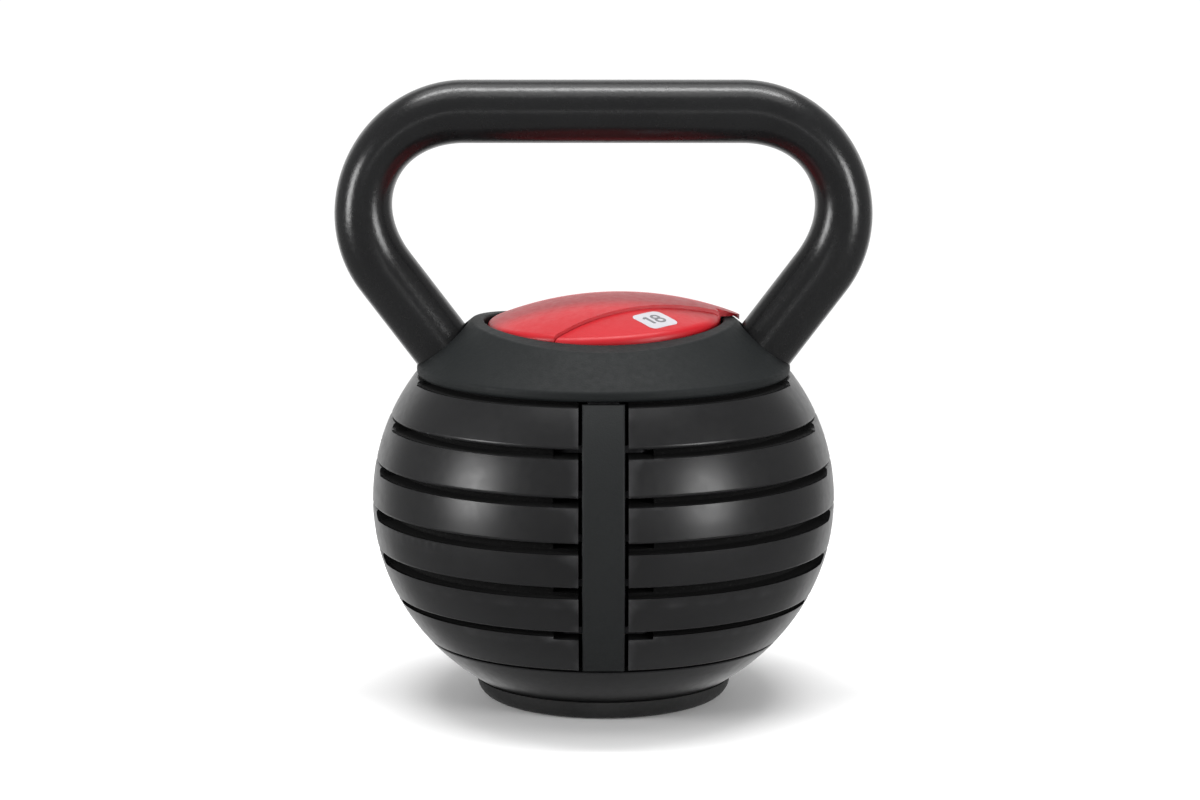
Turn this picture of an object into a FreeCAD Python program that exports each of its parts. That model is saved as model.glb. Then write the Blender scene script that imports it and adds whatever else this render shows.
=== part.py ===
import FreeCAD, Part
import math
import os

os.makedirs("parts", exist_ok=True)

Vector = FreeCAD.Vector
Z_AXIS = Vector(0, 0, 1)

# ---------------------------------------------------------------- driving dimensions, mm
# The kettlebell stands on its rubber foot at z = 0. +Z is up, X runs along the hand grip and
# the front of the kettlebell, where the plates are slotted, faces -Y.

BALL_RADIUS = 99.8          # widest radius of the stacked plates
BALL_HALF_HEIGHT = 93.0     # the ball is slightly flattened
BALL_CENTRE_Z = 86.6

PLATE_COUNT = 6
STACK_BOTTOM_Z = 27.4
# height of each plate, from the top plate down
PLATE_HEIGHTS = (17.9, 18.9, 18.4, 18.8, 20.1, 19.2)
PLATE_CLEARANCE = 0.15      # each plate face stands back this far from its pitch plane
PLATE_MASS_KG = 2.27
IRON_DENSITY = 7.2e-6       # kg per cubic millimetre
PLATE_EDGE_RADIUS = 1.2
SLOT_HALF_WIDTH = 10.3
KEYHOLE_RADIUS = 13.4
# depth of the rim groove in the top of each plate, from the top plate down
GROOVE_DEPTHS = (1.7, 3.2, 3.3, 4.3, 4.6, 2.2)
GROOVE_WIDTH = 9.0
GROOVE_HALF_ANGLE = 74.0    # each side of the front and of the back
POCKET_RIM = 12.0           # solid rim left outside the underside pockets
POCKET_INNER_RADIUS = 29.0
POCKET_RIB_WIDTH = 9.0

SHELF_COUNT = PLATE_COUNT - 1
SHELF_THICKNESS = 3.0
SHELF_HALF_WIDTH = 20.0
SHELF_FRONT_Y = -77.0
SHELF_BACK_Y = 23.0
SHELF_SIDE_GAP = 0.6
SHELF_UNDER_GAP = 0.4

WEB_HALF_THICKNESS = 6.5
WEB_BACK_Y = -14.2
STRIP_HALF_WIDTH = 8.8
STRIP_THICKNESS = 3.5
STRIP_INSET = 0.8
STRIP_BOTTOM_Z = 27.2
STRIP_TOP_Z = 140.0

TUBE_RADIUS = 13.5
TUBE_WALL = 3.0
BEND_X = 59.2
BEND_Z = 210.6
BEND_RADIUS = 43.0
LEG_ANGLE = math.radians(52.9)   # above the horizontal
GRIP_Z = BEND_Z + BEND_RADIUS

MOUNT_PLATE_BOTTOM_Z = 141.2
MOUNT_PLATE_THICKNESS = 5.0
MOUNT_PLATE_TOP_Z = MOUNT_PLATE_BOTTOM_Z + MOUNT_PLATE_THICKNESS
MOUNT_PLATE_RADIUS = 74.6
MOUNT_PLATE_CHAMFER = 2.2   # clears the collar's sloping wall
TUBE_END_Z = MOUNT_PLATE_BOTTOM_Z + 0.4
LEG_HOLE_BOTTOM_Z = 143.2   # the collar's lip runs unbroken below this, under each leg

COLLAR_RADIUS = 80.3
COLLAR_BOTTOM_Z = 140.95
COLLAR_SHOULDER_Z = 144.9
COLLAR_RIM_RADIUS = 56.6
COLLAR_RIM_Z = 164.4
COLLAR_WALL = 2.8
RECESS_RADIUS = 51.4
RECESS_WALL = 2.0
RECESS_BOTTOM_Z = 154.0
RIM_SADDLE_DROP = 3.6       # the rim is lower at the front and back than at the sides
LEG_HOLE_RADIUS = TUBE_RADIUS + 0.3

SHAFT_RADIUS = 12.5
SHAFT_FLAT_HALF_WIDTH = 8.6
SHAFT_BOTTOM_Z = 28.1
SHAFT_TOP_Z = 140.6
JOURNAL_RADIUS = 8.0
LOWER_JOURNAL_RADIUS = 7.0
RUNNING_CLEARANCE = 0.05
SQUARE_DRIVE = 10.0

CARRIER_BOTTOM_Z = 153.0
CARRIER_TOP_Z = 155.4
CARRIER_RADIUS = 48.8
HUB_RADIUS = 12.0
HUB_BOTTOM_Z = 149.4
HUB_TOP_Z = 160.0

CAP_RADIUS = 50.0
CAP_DOME_RADIUS = 145.0
CAP_DOME_X = 7.0
CAP_DOME_Y = 3.0
CAP_TOP_Z = 174.6
CAP_WALL = 2.4
CAP_EDGE_RADIUS = 3.2
TAIL_ANGLE = math.radians(12.0)
TAIL_REACH = 60.0
TAIL_END_RADIUS = 7.0
TAIL_ROOT_REACH = 27.0      # the tail's sides run back to a circle inside the round cap
TAIL_ROOT_TURN = math.radians(34.0)
TAIL_ROOT_RADIUS = 24.5

BUTTON_DROP = 1.4           # the button's face sits this far below the cap's
BUTTON_GAP = 0.5
BUTTON_TRAVEL = 2.5
BUTTON_BOTTOM_Z = 158.6

LATCH_RADIUS = 37.0         # radius of the latch foot's track
LATCH_LIP_BOTTOM_Z = 151.0
LATCH_LIP_TOP_Z = 152.6
LATCH_ANGLE = math.radians(-50.0)
TURN_ANGLE = math.radians(90.0)

BASE_BOTTOM_Z = 8.4
BASE_UNDERSIDE_RADIUS = 33.0
BUSH_RADIUS = 10.0
BUSH_FLANGE_RADIUS = 12.6
BUSH_FLANGE_Z = 24.9
BUSH_TOP_Z = 27.25
FOOT_RADIUS = 55.0
FOOT_INNER_RADIUS = 34.0
FOOT_EDGE_RADIUS = 7.8      # rounding of the foot's outer lower edge


# ---------------------------------------------------------------- helpers
def save(node, shape):
    """Write one node; several solids in one node are kept apart in a compound."""
    solids = shape.Solids
    out = solids[0] if len(solids) == 1 else Part.makeCompound(solids)
    out.exportStep("parts/" + node + ".step")


def ball_radius(z):
    """Radius of the ball's outside at height z."""
    return BALL_RADIUS * math.sqrt(1.0 - ((z - BALL_CENTRE_Z) / BALL_HALF_HEIGHT) ** 2)


def joint_z(plates_below):
    """Height of the plane between two plates, with so many plates under it."""
    return STACK_BOTTOM_Z + sum(PLATE_HEIGHTS[PLATE_COUNT - plates_below:])


def disc(radius, z0, z1, x=0.0, y=0.0):
    return Part.makeCylinder(radius, z1 - z0, Vector(x, y, z0))


def block(x0, x1, y0, y1, z0, z1):
    return Part.makeBox(x1 - x0, y1 - y0, z1 - z0, Vector(x0, y0, z0))


def ring(outer, inner, z0, z1):
    return disc(outer, z0, z1).cut(disc(inner, z0 - 1.0, z1 + 1.0))


def polar(radius, angle, z=0.0):
    return Vector(radius * math.cos(angle), radius * math.sin(angle), z)


def turned(points):
    """Solid of revolution about Z from (radius, z) points."""
    corners = [Vector(r, 0, z) for r, z in points]
    face = Part.Face(Part.makePolygon(corners + corners[:1]))
    return face.revolve(Vector(0, 0, 0), Z_AXIS, 360)


def ball_slice(z0, z1, edge, inset=0.0):
    """The part of the ball between two heights, with its two outer edges rounded."""
    z_mid = 0.5 * (z0 + z1)
    low = Vector(ball_radius(z0) - inset, 0, z0)
    middle = Vector(ball_radius(z_mid) - inset, 0, z_mid)
    high = Vector(ball_radius(z1) - inset, 0, z1)
    edges = [
        Part.makeLine(Vector(0, 0, z0), low),
        Part.Arc(low, middle, high).toShape(),
        Part.makeLine(high, Vector(0, 0, z1)),
        Part.makeLine(Vector(0, 0, z1), Vector(0, 0, z0)),
    ]
    solid = Part.Face(Part.Wire(edges)).revolve(Vector(0, 0, 0), Z_AXIS, 360)
    if edge > 0:
        rims = [e for e in solid.Edges if e.Curve.TypeId == "Part::GeomCircle"
                and min(abs(e.BoundBox.ZMin - z0), abs(e.BoundBox.ZMin - z1)) < 1e-6
                and e.BoundBox.ZLength < 1e-6]
        solid = solid.makeFillet(edge, rims)
    return solid


def wedge(half_angle_deg, middle_deg, reach, z0, z1):
    """A sector of a disc, centred on the direction middle_deg."""
    sector = Part.makeCylinder(reach, z1 - z0, Vector(0, 0, z0), Z_AXIS, 2 * half_angle_deg)
    sector.rotate(Vector(0, 0, 0), Z_AXIS, middle_deg - half_angle_deg)
    return sector


def countersunk_screw(x, y, head_z, tip_z, radius, head_radius, head_height):
    """Screw with its flat head at head_z and its tip at tip_z, standing on the Z direction."""
    up = 1.0 if tip_z > head_z else -1.0
    direction = Vector(0, 0, up)
    head = Part.makeCone(head_radius, radius, head_height, Vector(x, y, head_z), direction)
    shank = Part.makeCylinder(radius, abs(tip_z - head_z), Vector(x, y, head_z), direction)
    socket_radius = 0.55 * radius
    socket_depth = 0.7 * head_height
    socket = Part.makeCylinder(socket_radius, socket_depth, Vector(x, y, head_z), direction)
    return head.fuse(shank).cut(socket)


def cap_screw(x, y, head_z, tip_z, radius, head_radius, head_height):
    """Socket-head screw pointing up, its head's free face at head_z."""
    head = disc(head_radius, head_z, head_z + head_height, x, y)
    shank = disc(radius, head_z, tip_z, x, y)
    socket = disc(0.6 * radius, head_z, head_z + 0.6 * head_height, x, y)
    return head.fuse(shank).cut(socket)


# ---------------------------------------------------------------- handle
def leg_point(distance):
    """Point on the right leg's centre line, at a distance below the end of the bend."""
    x = BEND_X + BEND_RADIUS * math.sin(LEG_ANGLE) - distance * math.cos(LEG_ANGLE)
    z = BEND_Z - BEND_RADIUS * math.cos(LEG_ANGLE) - distance * math.sin(LEG_ANGLE)
    return Vector(x, 0, z)


def leg_cylinder(side, radius, start, length, shift=0.0):
    """Cylinder on a leg's centre line; shift moves it towards the middle of the handle."""
    top = leg_point(start)
    across = Vector(-math.sin(LEG_ANGLE), 0, math.cos(LEG_ANGLE)) * shift
    base = top + across
    direction = Vector(-side * math.cos(LEG_ANGLE), 0, -math.sin(LEG_ANGLE))
    return Part.makeCylinder(radius, length, Vector(side * base.x, 0, base.z), direction)


def handle_solid(radius):
    """Round bar along the whole handle: leg, bend, grip, bend, leg."""
    foot_x = leg_point(70.0).x
    foot_z = leg_point(70.0).z
    bend_end = leg_point(0.0)
    half_turn = (math.pi - LEG_ANGLE) / 2
    middle_x = BEND_X + BEND_RADIUS * math.sin(half_turn)
    middle_z = BEND_Z + BEND_RADIUS * math.cos(half_turn)
    path = []
    path.append(Part.makeLine(Vector(-foot_x, 0, foot_z), Vector(-bend_end.x, 0, bend_end.z)))
    path.append(Part.Arc(Vector(-bend_end.x, 0, bend_end.z), Vector(-middle_x, 0, middle_z),
                         Vector(-BEND_X, 0, GRIP_Z)).toShape())
    path.append(Part.makeLine(Vector(-BEND_X, 0, GRIP_Z), Vector(BEND_X, 0, GRIP_Z)))
    path.append(Part.Arc(Vector(BEND_X, 0, GRIP_Z), Vector(middle_x, 0, middle_z),
                         Vector(bend_end.x, 0, bend_end.z)).toShape())
    path.append(Part.makeLine(Vector(bend_end.x, 0, bend_end.z), Vector(foot_x, 0, foot_z)))
    start = Vector(-foot_x, 0, foot_z)
    direction = Vector(-bend_end.x + foot_x, 0, bend_end.z - foot_z)
    section = Part.Wire(Part.Circle(start, direction, radius).toShape())
    body = Part.Wire(path).makePipeShell([section], True, False)
    floor = block(-200, 200, -60, 60, 0, TUBE_END_Z)
    lip_room = ring(120, MOUNT_PLATE_RADIUS, 100, LEG_HOLE_BOTTOM_Z + 0.3)
    return body.cut(floor).cut(lip_room)


handle = handle_solid(TUBE_RADIUS).cut(handle_solid(TUBE_RADIUS - TUBE_WALL))
save("handle_tube", handle)

# ---------------------------------------------------------------- mount plate and welds
COLLAR_SCREW_RADIUS = 66.0
COLLAR_SCREW_ANGLES = [math.radians(a) for a in (-125.0, -55.0, 55.0, 125.0)]
WEB_SCREW_YS = (-58.0, -30.0)
BASE_BOLT_YS = (-45.0, -24.0)

mount_plate = turned([
    (0, MOUNT_PLATE_BOTTOM_Z), (MOUNT_PLATE_RADIUS, MOUNT_PLATE_BOTTOM_Z),
    (MOUNT_PLATE_RADIUS, MOUNT_PLATE_TOP_Z - MOUNT_PLATE_CHAMFER),
    (MOUNT_PLATE_RADIUS - MOUNT_PLATE_CHAMFER, MOUNT_PLATE_TOP_Z), (0, MOUNT_PLATE_TOP_Z),
])
for side in (-1, 1):
    mount_plate = mount_plate.cut(leg_cylinder(side, TUBE_RADIUS, 0.0, 90.0))
mount_plate = mount_plate.cut(disc(11.0, 140, 150))
for angle in COLLAR_SCREW_ANGLES:
    at = polar(COLLAR_SCREW_RADIUS, angle)
    mount_plate = mount_plate.cut(
        countersunk_screw(at.x, at.y, MOUNT_PLATE_BOTTOM_Z, 156.0, 2.1, 4.1, 2.2))
    mount_plate = mount_plate.cut(disc(2.1, 140, 150, at.x, at.y))
for y in WEB_SCREW_YS:
    mount_plate = mount_plate.cut(
        countersunk_screw(0, y, MOUNT_PLATE_TOP_Z, 130.0, 3.1, 6.1, 3.2))
    mount_plate = mount_plate.cut(disc(3.1, 140, 150, 0, y))
LATCH_RING_OUTER = 43.5
LATCH_SCREW_CIRCLE = 41.0
LATCH_SCREW_ANGLES = [math.radians(a) for a in (-165.0, 75.0, 150.0)]
for angle in LATCH_SCREW_ANGLES:
    at = polar(LATCH_SCREW_CIRCLE, angle)
    mount_plate = mount_plate.cut(disc(1.2, 140, 150, at.x, at.y))
save("mount_plate", mount_plate)

WELD_SIZE = 2.4
WELD_REACH_RADIUS = 69.4    # the beads stop short of the collar's wall
welds = []
for side in (-1, 1):
    bead = leg_cylinder(side, TUBE_RADIUS + WELD_SIZE, 0.0, 90.0)
    bead = bead.common(ring(WELD_REACH_RADIUS, 45.6, MOUNT_PLATE_TOP_Z,
                            MOUNT_PLATE_TOP_Z + WELD_SIZE))
    bead = bead.cut(leg_cylinder(side, TUBE_RADIUS, 0.0, 90.0))
    welds.extend(bead.Solids)
save("handle_welds", Part.makeCompound(welds))

# ---------------------------------------------------------------- collar, two half shells
SEAM_GAP = 0.2
slope = (COLLAR_RADIUS - COLLAR_RIM_RADIUS) / (COLLAR_RIM_Z - COLLAR_SHOULDER_Z)
inner_top_z = COLLAR_RIM_Z - RIM_SADDLE_DROP - COLLAR_WALL
inner_shoulder_r = MOUNT_PLATE_RADIUS + 0.4
inner_shoulder_z = COLLAR_SHOULDER_Z + (COLLAR_RADIUS - inner_shoulder_r) / slope - 4.4
recess_outer = RECESS_RADIUS + RECESS_WALL
inner_top_r = COLLAR_RADIUS - (inner_top_z - COLLAR_SHOULDER_Z) * slope - 3.6
collar = turned([
    (inner_shoulder_r, COLLAR_BOTTOM_Z),
    (COLLAR_RADIUS, COLLAR_BOTTOM_Z),
    (COLLAR_RADIUS, COLLAR_SHOULDER_Z),
    (COLLAR_RIM_RADIUS, COLLAR_RIM_Z),
    (RECESS_RADIUS, COLLAR_RIM_Z),
    (RECESS_RADIUS, RECESS_BOTTOM_Z),
    (recess_outer, RECESS_BOTTOM_Z),
    (recess_outer, inner_top_z),
    (inner_top_r, inner_top_z),
    (inner_shoulder_r, inner_shoulder_z),
])


def circle_edges(shape, radius, z):
    found = []
    for edge in shape.Edges:
        flat = edge.BoundBox.ZLength < 1e-5 and abs(edge.BoundBox.ZMin - z) < 1e-5
        if flat and abs(edge.BoundBox.XMax - radius) < 1e-4:
            found.append(edge)
    return found


saddle_radius = RECESS_RADIUS ** 2 / (2 * RIM_SADDLE_DROP)
saddle = Part.makeCylinder(saddle_radius, 400, Vector(-200, 0, COLLAR_RIM_Z - saddle_radius),
                           Vector(1, 0, 0))
collar = collar.makeFillet(1.9, circle_edges(collar, COLLAR_RADIUS, COLLAR_BOTTOM_Z)
                           + circle_edges(collar, COLLAR_RADIUS, COLLAR_SHOULDER_Z))
collar = collar.common(saddle)


def rim_edges(shape, radius):
    """Edges of the collar's saddle-shaped rim at the given radius."""
    return [e for e in shape.Edges if abs(e.BoundBox.ZMax - COLLAR_RIM_Z) < 1e-3
            and abs(e.BoundBox.XMax - radius) < 1e-3 and e.BoundBox.XLength > radius]


collar = collar.makeFillet(1.6, rim_edges(collar, COLLAR_RIM_RADIUS))
collar = collar.makeFillet(1.0, rim_edges(collar, RECESS_RADIUS))

BOSS_RADIUS = 5.0
BOSS_TOP_Z = 151.0
for angle in COLLAR_SCREW_ANGLES:
    at = polar(COLLAR_SCREW_RADIUS, angle)
    boss = disc(BOSS_RADIUS, MOUNT_PLATE_TOP_Z, BOSS_TOP_Z, at.x, at.y)
    collar = collar.fuse(boss)
    collar = collar.cut(disc(1.75, MOUNT_PLATE_TOP_Z - 1, BOSS_TOP_Z - 1.0, at.x, at.y))
above_lip = block(-120, 120, -60, 60, LEG_HOLE_BOTTOM_Z, 200)
for side in (-1, 1):
    leg_hole = leg_cylinder(side, LEG_HOLE_RADIUS, 0.0, 90.0)
    leg_hole = leg_hole.fuse(leg_cylinder(side, LEG_HOLE_RADIUS - 2.0, 0.0, 90.0, 3.2))
    collar = collar.cut(leg_hole.common(above_lip))
front_half = collar.cut(block(-100, 100, -SEAM_GAP / 2, 100, 130, 180))
back_half = collar.cut(block(-100, 100, -100, SEAM_GAP / 2, 130, 180))
save("collar_front", front_half)
save("collar_back", back_half)

collar_screws = []
for angle in COLLAR_SCREW_ANGLES:
    at = polar(COLLAR_SCREW_RADIUS, angle)
    collar_screws.append(
        countersunk_screw(at.x, at.y, MOUNT_PLATE_BOTTOM_Z, BOSS_TOP_Z - 1.4, 1.7, 4.0, 2.2))
save("collar_screws", Part.makeCompound(collar_screws))

# ---------------------------------------------------------------- spine web, shelves, strip
def ball_strip(z0, z1, inset_outer, inset_inner, half_width):
    """Curved bar that follows the front of the ball between two insets from it."""
    count = 9
    outer = []
    inner = []
    for step in range(count):
        z = z0 + (z1 - z0) * step / (count - 1)
        outer.append(Vector(-half_width, -(ball_radius(z) - inset_outer), z))
        inner.append(Vector(-half_width, -(ball_radius(z) - inset_inner), z))
    outer_curve = Part.BSplineCurve()
    outer_curve.interpolate(outer)
    inner_curve = Part.BSplineCurve()
    inner_curve.interpolate(inner)
    wire = Part.Wire([
        outer_curve.toShape(),
        Part.makeLine(outer[-1], inner[-1]),
        inner_curve.toShape(),
        Part.makeLine(inner[0], outer[0]),
    ])
    return Part.Face(wire).extrude(Vector(2 * half_width, 0, 0))


strip = ball_strip(STRIP_BOTTOM_Z, STRIP_TOP_Z, STRIP_INSET, STRIP_INSET + STRIP_THICKNESS,
                   STRIP_HALF_WIDTH)
long_edges = [e for e in strip.Edges if e.BoundBox.ZLength > 100
              and e.BoundBox.YMin < -(BALL_RADIUS - STRIP_INSET) + 0.5]
strip = strip.makeFillet(1.0, long_edges)

WEB_FRONT_INSET = STRIP_INSET + STRIP_THICKNESS + 0.05
count = 9
front_points = []
for step in range(count):
    z = STACK_BOTTOM_Z + (MOUNT_PLATE_BOTTOM_Z - STACK_BOTTOM_Z) * step / (count - 1)
    front_points.append(Vector(-WEB_HALF_THICKNESS, -(ball_radius(z) - WEB_FRONT_INSET), z))
front_curve = Part.BSplineCurve()
front_curve.interpolate(front_points)
web_wire = Part.Wire([
    front_curve.toShape(),
    Part.makeLine(front_points[-1], Vector(-WEB_HALF_THICKNESS, WEB_BACK_Y, MOUNT_PLATE_BOTTOM_Z)),
    Part.makeLine(Vector(-WEB_HALF_THICKNESS, WEB_BACK_Y, MOUNT_PLATE_BOTTOM_Z),
                  Vector(-WEB_HALF_THICKNESS, WEB_BACK_Y, STACK_BOTTOM_Z)),
    Part.makeLine(Vector(-WEB_HALF_THICKNESS, WEB_BACK_Y, STACK_BOTTOM_Z), front_points[0]),
])
web = Part.Face(web_wire).extrude(Vector(2 * WEB_HALF_THICKNESS, 0, 0))
# the top front corner clears the collar's lip
web = web.cut(ring(100.0, MOUNT_PLATE_RADIUS, COLLAR_BOTTOM_Z - 0.3, 150.0))
for y in WEB_SCREW_YS:
    web = web.cut(disc(2.6, 118.0, 150.0, 0, y))
for y in BASE_BOLT_YS:
    web = web.cut(disc(2.6, 10.0, 48.0, 0, y))
# snap holes hold the barbs on the strip's back
SNAP_ZS = (55.0, 82.0, 110.0)
SNAP_DEPTH = 6.0
for z in SNAP_ZS:
    y = -(ball_radius(z) - WEB_FRONT_INSET)
    web = web.cut(block(-3.2, 3.2, y - 2, y + SNAP_DEPTH + 0.6, z - 3.2, z + 3.2))
    strip = strip.fuse(block(-3.0, 3.0, y - 1.2, y + SNAP_DEPTH, z - 3.0, z + 3.0))
save("front_strip", strip)
save("spine_web", web)

shelves = []
for index in range(1, PLATE_COUNT):
    top = joint_z(index) - PLATE_CLEARANCE
    shelf = block(-SHELF_HALF_WIDTH, SHELF_HALF_WIDTH, SHELF_FRONT_Y, SHELF_BACK_Y,
                  top - SHELF_THICKNESS, top)
    corner_edges = [e for e in shelf.Edges if e.BoundBox.ZLength > SHELF_THICKNESS - 0.1]
    shelf = shelf.makeFillet(6.0, corner_edges)
    shelf = shelf.cut(disc(SHAFT_RADIUS + 0.5, top - 10, top + 10))
    shelf = shelf.cut(block(-WEB_HALF_THICKNESS, WEB_HALF_THICKNESS, -120, WEB_BACK_Y,
                            top - 10, top + 10))
    shelves.append(shelf)
save("support_shelves", Part.makeCompound(shelves))

web_screws = []
for y in WEB_SCREW_YS:
    web_screws.append(countersunk_screw(0, y, MOUNT_PLATE_TOP_Z, 120.0, 2.55, 6.0, 3.2))
save("web_screws", Part.makeCompound(web_screws))

# ---------------------------------------------------------------- base, foot, lower bush
base = ball_slice(BASE_BOTTOM_Z, STACK_BOTTOM_Z - PLATE_CLEARANCE, 0.8)
base = base.cut(turned([(0, 8.0), (BASE_UNDERSIDE_RADIUS, 8.0), (BASE_UNDERSIDE_RADIUS - 3, 16.0),
                        (14.0, 16.0), (12.5, 11.0), (0, 11.0)]))
# shallow relief under the lowest plate, front and back
relief = ring(120, ball_radius(STACK_BOTTOM_Z) - 7.0, STACK_BOTTOM_Z - 0.9, STACK_BOTTOM_Z + 1)
for middle in (-90, 90):
    base = base.cut(relief.common(wedge(GROOVE_HALF_ANGLE, middle, 130, 20, 30)))
base = base.cut(disc(BUSH_RADIUS, 5.0, 30.0))
base = base.cut(disc(BUSH_FLANGE_RADIUS, BUSH_FLANGE_Z, 30.0))
for y in BASE_BOLT_YS:
    base = base.cut(disc(2.8, 5.0, 30.0, 0, y))
    base = base.cut(disc(5.2, 5.0, 17.5, 0, y))
FOOT_SCREW_CIRCLE = 41.0
FOOT_SCREW_ANGLES = [math.radians(a) for a in (0.0, 90.0, 180.0, -52.0, -128.0)]
for angle in FOOT_SCREW_ANGLES:
    at = polar(FOOT_SCREW_CIRCLE, angle)
    base = base.cut(disc(1.6, 5.0, 16.0, at.x, at.y))
save("base_dish", base)

base_bolts = []
for y in BASE_BOLT_YS:
    base_bolts.append(cap_screw(0, y, 12.5, 44.0, 2.55, 5.0, 5.0))
save("base_bolts", Part.makeCompound(base_bolts))

lower_bush = disc(BUSH_RADIUS, 11.2, BUSH_TOP_Z)
lower_bush = lower_bush.fuse(disc(BUSH_FLANGE_RADIUS, BUSH_FLANGE_Z, BUSH_TOP_Z))
lower_bush = lower_bush.cut(disc(LOWER_JOURNAL_RADIUS + RUNNING_CLEARANCE, 5, 30))
save("lower_bush", lower_bush)

foot = ring(FOOT_RADIUS, FOOT_INNER_RADIUS, 0.0, BASE_BOTTOM_Z - 0.05)
foot = foot.makeFillet(FOOT_EDGE_RADIUS, circle_edges(foot, FOOT_RADIUS, 0.0))
for angle in FOOT_SCREW_ANGLES:
    at = polar(FOOT_SCREW_CIRCLE, angle)
    foot = foot.cut(disc(4.0, -5, 4.4, at.x, at.y))
    foot = foot.cut(disc(1.8, -5, 20, at.x, at.y))
save("foot_ring", foot)

foot_screws = []
for angle in FOOT_SCREW_ANGLES:
    at = polar(FOOT_SCREW_CIRCLE, angle)
    foot_screws.append(cap_screw(at.x, at.y, 2.2, 15.0, 1.55, 3.4, 2.2))
save("foot_screws", Part.makeCompound(foot_screws))

# ---------------------------------------------------------------- lock shaft and its bushes
shaft = disc(SHAFT_RADIUS, SHAFT_BOTTOM_Z, SHAFT_TOP_Z)
shaft = shaft.common(block(-SHAFT_FLAT_HALF_WIDTH, SHAFT_FLAT_HALF_WIDTH, -20, 20,
                           SHAFT_BOTTOM_Z, SHAFT_TOP_Z))
shaft = shaft.fuse(disc(LOWER_JOURNAL_RADIUS, 12.0, SHAFT_BOTTOM_Z))
shaft = shaft.fuse(disc(JOURNAL_RADIUS, SHAFT_TOP_Z, HUB_BOTTOM_Z))
half_square = SQUARE_DRIVE / 2
shaft = shaft.fuse(block(-half_square, half_square, -half_square, half_square,
                         HUB_BOTTOM_Z, HUB_TOP_Z - 0.6))
shaft = shaft.cut(disc(2.5, 140.0, 170.0))
save("lock_shaft", shaft)

upper_bush = disc(11.0, MOUNT_PLATE_BOTTOM_Z + 0.2, MOUNT_PLATE_TOP_Z)
upper_bush = upper_bush.fuse(disc(15.0, MOUNT_PLATE_TOP_Z, MOUNT_PLATE_TOP_Z + 1.6))
upper_bush = upper_bush.cut(disc(JOURNAL_RADIUS + RUNNING_CLEARANCE, 130, 160))
save("upper_bush", upper_bush)

washer_z = MOUNT_PLATE_TOP_Z + 1.6
thrust_washer = ring(13.0, JOURNAL_RADIUS + 0.35, washer_z, HUB_BOTTOM_Z - 0.3)
save("thrust_washer", thrust_washer)

# ---------------------------------------------------------------- latch ring
foot_wall = ring(LATCH_RING_OUTER, 39.8, MOUNT_PLATE_TOP_Z, LATCH_LIP_TOP_Z)
lip = ring(LATCH_RING_OUTER, 33.6, LATCH_LIP_BOTTOM_Z, LATCH_LIP_TOP_Z)
latch_ring = foot_wall.fuse(lip)
# notch where the latch foot rises when the knob is turned to its locked end
notch_at = polar(36.3, LATCH_ANGLE + TURN_ANGLE)
latch_ring = latch_ring.cut(disc(3.6, LATCH_LIP_BOTTOM_Z - 1, LATCH_LIP_TOP_Z + 1,
                                 notch_at.x, notch_at.y))
for angle in LATCH_SCREW_ANGLES:
    at = polar(LATCH_SCREW_CIRCLE, angle)
    latch_ring = latch_ring.cut(disc(1.35, 140, 160, at.x, at.y))
save("latch_ring", latch_ring)
latch_screws = []
for angle in LATCH_SCREW_ANGLES:
    at = polar(LATCH_SCREW_CIRCLE, angle)
    latch_screws.append(disc(1.2, MOUNT_PLATE_TOP_Z - 4.0, LATCH_LIP_TOP_Z - 0.2, at.x, at.y))
save("latch_screws", Part.makeCompound(latch_screws))

# ---------------------------------------------------------------- knob: cap, button, carrier
def arc_circle(p, q, r):
    """Centre and radius of the circle through three points in plan."""
    ax, ay, bx, by, cx, cy = p[0], p[1], q[0], q[1], r[0], r[1]
    d = 2 * (ax * (by - cy) + bx * (cy - ay) + cx * (ay - by))
    ux = ((ax ** 2 + ay ** 2) * (by - cy) + (bx ** 2 + by ** 2) * (cy - ay)
          + (cx ** 2 + cy ** 2) * (ay - by)) / d
    uy = ((ax ** 2 + ay ** 2) * (cx - bx) + (bx ** 2 + by ** 2) * (ax - cx)
          + (cx ** 2 + cy ** 2) * (bx - ax)) / d
    return ux, uy, math.hypot(ax - ux, ay - uy)


SPLIT_START = (-20.5, -45.6)
SPLIT_MIDDLE = (15.0, -20.5)
SPLIT_END = (49.8, -3.0)
split_x, split_y, split_radius = arc_circle(SPLIT_START, SPLIT_MIDDLE, SPLIT_END)


def dome(drop):
    """Sphere whose top is the face of the cap, lowered by drop."""
    centre = Vector(CAP_DOME_X, CAP_DOME_Y, CAP_TOP_Z - CAP_DOME_RADIUS)
    return Part.makeSphere(CAP_DOME_RADIUS - drop, centre)


def dome_z(x, y, drop=0.0):
    flat = (x - CAP_DOME_X) ** 2 + (y - CAP_DOME_Y) ** 2
    return CAP_TOP_Z - CAP_DOME_RADIUS + math.sqrt((CAP_DOME_RADIUS - drop) ** 2 - flat)


CAP_BOTTOM_Z = CARRIER_TOP_Z
tail_tip = polar(TAIL_REACH - TAIL_END_RADIUS, TAIL_ANGLE)


def domed_disc(radius, bottom_z, drop):
    """Round block under the dome, its top edge rounded over."""
    solid = disc(radius, bottom_z, 185).common(dome(drop))
    top = [e for e in solid.Edges if e.BoundBox.ZMin > bottom_z + 1.0
           and e.BoundBox.XLength > radius]
    return solid.makeFillet(CAP_EDGE_RADIUS, top)


tail_lobe = disc(TAIL_END_RADIUS, CAP_BOTTOM_Z, 185, tail_tip.x, tail_tip.y)
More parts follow.
